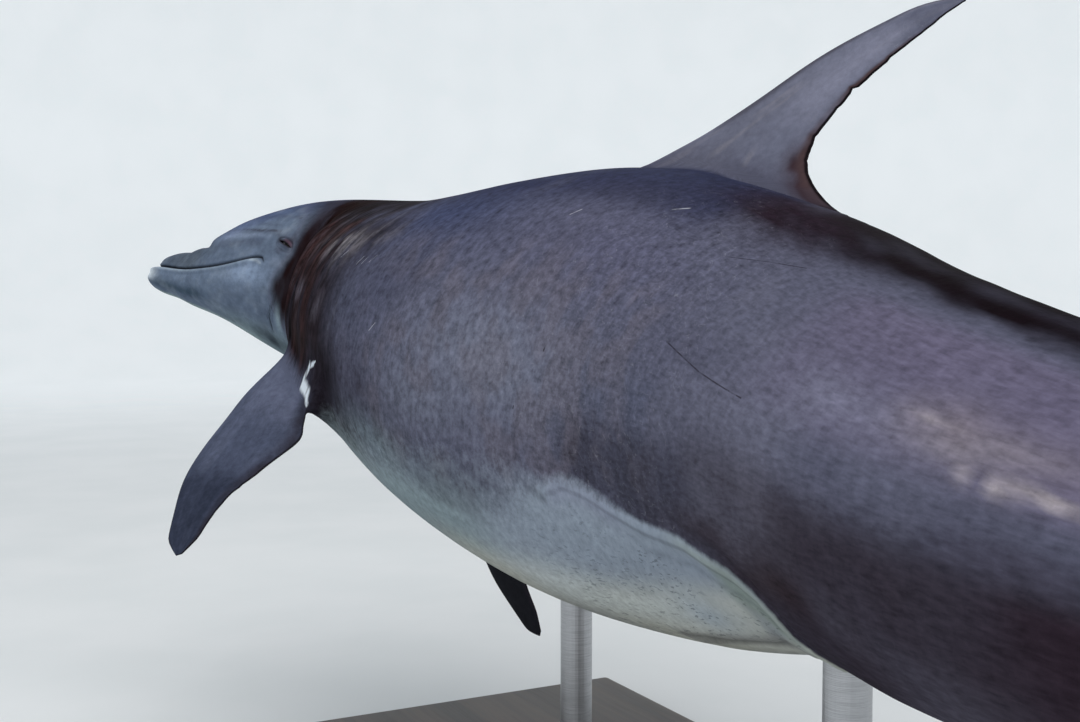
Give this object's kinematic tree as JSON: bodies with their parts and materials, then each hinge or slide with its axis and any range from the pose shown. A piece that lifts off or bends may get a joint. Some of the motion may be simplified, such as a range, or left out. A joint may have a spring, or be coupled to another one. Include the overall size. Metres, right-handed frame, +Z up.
{
  "type": "bottlenose dolphin model",
  "caption": "Life-size still model of a bottlenose dolphin in a banked, turning swim, held over a flat base by short rods.",
  "frame": {"origin": "floor level, under the middle of the whole model's box", "axes": "+Z up, head towards -Y, the animal's left towards +X, tail towards +Y"},
  "size_m": [0.833, 2.403, 0.88],
  "materials": {
    "skin_back": "smooth grey hide, satin, finely mottled",
    "skin_face": "smooth pale blue-grey hide, satin",
    "skin_fin": "smooth dark grey hide, satin",
    "skin_tail": "smooth dark grey hide, satin",
    "eye": "glossy dark brown, as a model's glass eye",
    "stand_base": "board painted charcoal, satin",
    "stand_rod": "brushed"
  },
  "bodies": {
    "root": {"dorsal_fin": "skin_fin", "eye_left": "eye", "eye_right": "eye", "flipper_left": "skin_fin", "flipper_right": "skin_fin", "fluke_left": "skin_fin", "fluke_right": "skin_fin", "head": "skin_face", "lower_jaw": "skin_face", "stand_base": "stand_base", "stand_rod_front": "stand_rod", "stand_rod_rear": "stand_rod", "tail_stock": "skin_tail", "trunk": "skin_back"}
  },
  "joints": []
}
